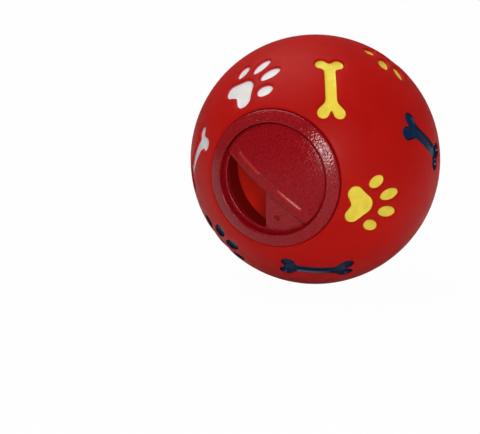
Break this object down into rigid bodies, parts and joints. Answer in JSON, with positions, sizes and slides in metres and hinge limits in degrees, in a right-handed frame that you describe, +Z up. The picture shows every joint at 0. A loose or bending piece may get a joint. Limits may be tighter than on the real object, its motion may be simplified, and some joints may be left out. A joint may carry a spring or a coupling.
{
  "type": "treat ball",
  "caption": "Hollow soft ball with painted paw and bone pockets, and a rigid round insert whose turning shutter opens a treat window in front of a baffle.",
  "frame": {"origin": "the ball's lowest point, where it rests on a floor, straight below the ball's middle", "axes": "+Z up; the insert and its shutter face -Y, and the shutter's axis runs along Y through the ball's middle; +X to the right when the insert is seen from the front"},
  "size_m": [0.11, 0.1072, 0.11],
  "materials": {
    "vinyl": "satin soft vinyl",
    "grained_plastic": "fine sparked grain",
    "smooth_plastic": "smooth moulded",
    "white_paint": "satin paint",
    "yellow_paint": "satin paint",
    "navy_paint": "satin paint"
  },
  "bodies": {
    "ball": {"ball_shell": "vinyl", "insert_housing": "grained_plastic", "baffle": "smooth_plastic", "front_white_bone": "white_paint", "front_white_paw": "white_paint", "front_yellow_bone": "yellow_paint", "front_yellow_paw": "yellow_paint", "front_navy_bone": "navy_paint", "front_navy_paw": "navy_paint", "side_navy_bone": "navy_paint", "side_yellow_paw": "yellow_paint", "side_yellow_bone": "yellow_paint", "side_white_paw": "white_paint", "side_white_bone": "white_paint", "side_navy_paw": "navy_paint", "rear_white_bone": "white_paint", "rear_yellow_paw": "yellow_paint", "rear_navy_bone": "navy_paint"},
    "shutter": {"shutter": "grained_plastic", "pivot_clip": "smooth_plastic"}
  },
  "joints": [
    {"name": "shutter_turn", "type": "hinge", "parent": "ball", "child": "shutter", "pos_m": [0, -0.0445, 0.055], "axis": [0, -1, 0], "continuous": true}
  ]
}
